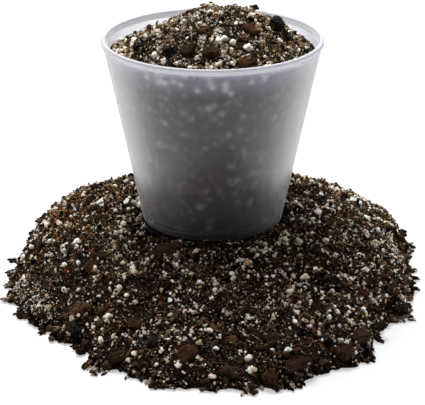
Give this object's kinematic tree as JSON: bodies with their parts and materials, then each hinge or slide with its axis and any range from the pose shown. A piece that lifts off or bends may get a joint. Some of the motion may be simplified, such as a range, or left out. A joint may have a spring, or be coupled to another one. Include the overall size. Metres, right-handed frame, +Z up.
{
  "type": "cup of potting compost on a heap",
  "caption": "Translucent frosted tapered cup heaped with potting compost of peat, bark and white perlite, standing in a low spread heap of the same mix.",
  "frame": {"origin": "on the floor under the heap, below the cup's axis", "axes": "+Z up along the cup's axis, -Y towards the viewer of the picture, +X to the viewer's right"},
  "size_m": [0.2389, 0.271, 0.1582],
  "materials": {
    "frosted_plastic": "frosted translucent, semi-matt",
    "compost": "loose granular, matt",
    "bark": "rough split bark",
    "peat": "crumbly, matt",
    "perlite": "popped mineral grain, matt",
    "twig": "rough, matt"
  },
  "bodies": {
    "root": {"cup": "frosted_plastic", "cup_fill": "compost", "heap": "compost", "bark_chip_01": "bark", "bark_chip_02": "bark", "bark_chip_03": "bark", "bark_chip_04": "bark", "bark_chip_05": "bark", "bark_chip_06": "bark", "bark_chip_07": "bark", "bark_chip_08": "bark", "bark_chip_09": "bark", "bark_chip_10": "bark", "bark_chip_11": "bark", "bark_chip_12": "bark", "bark_chip_13": "bark", "bark_chip_14": "bark", "bark_chip_15": "bark", "bark_chip_16": "bark", "bark_chip_17": "bark", "bark_chip_18": "bark", "bark_chip_19": "bark", "bark_chip_20": "bark", "bark_chip_21": "bark", "peat_lump_01": "peat", "peat_lump_02": "peat", "peat_lump_03": "peat", "peat_lump_04": "peat", "peat_lump_05": "peat", "peat_lump_06": "peat", "peat_lump_07": "peat", "peat_lump_08": "peat", "peat_lump_09": "peat", "peat_lump_10": "peat", "peat_lump_11": "peat", "peat_lump_12": "peat", "peat_lump_13": "peat", "perlite_lump_01": "perlite", "perlite_lump_02": "perlite", "perlite_lump_03": "perlite", "perlite_lump_04": "perlite", "perlite_lump_05": "perlite", "perlite_lump_06": "perlite", "perlite_lump_07": "perlite", "perlite_lump_08": "perlite", "perlite_lump_09": "perlite", "perlite_lump_10": "perlite", "perlite_lump_11": "perlite", "perlite_lump_12": "perlite", "twig_01": "twig", "twig_02": "twig"}
  },
  "joints": []
}
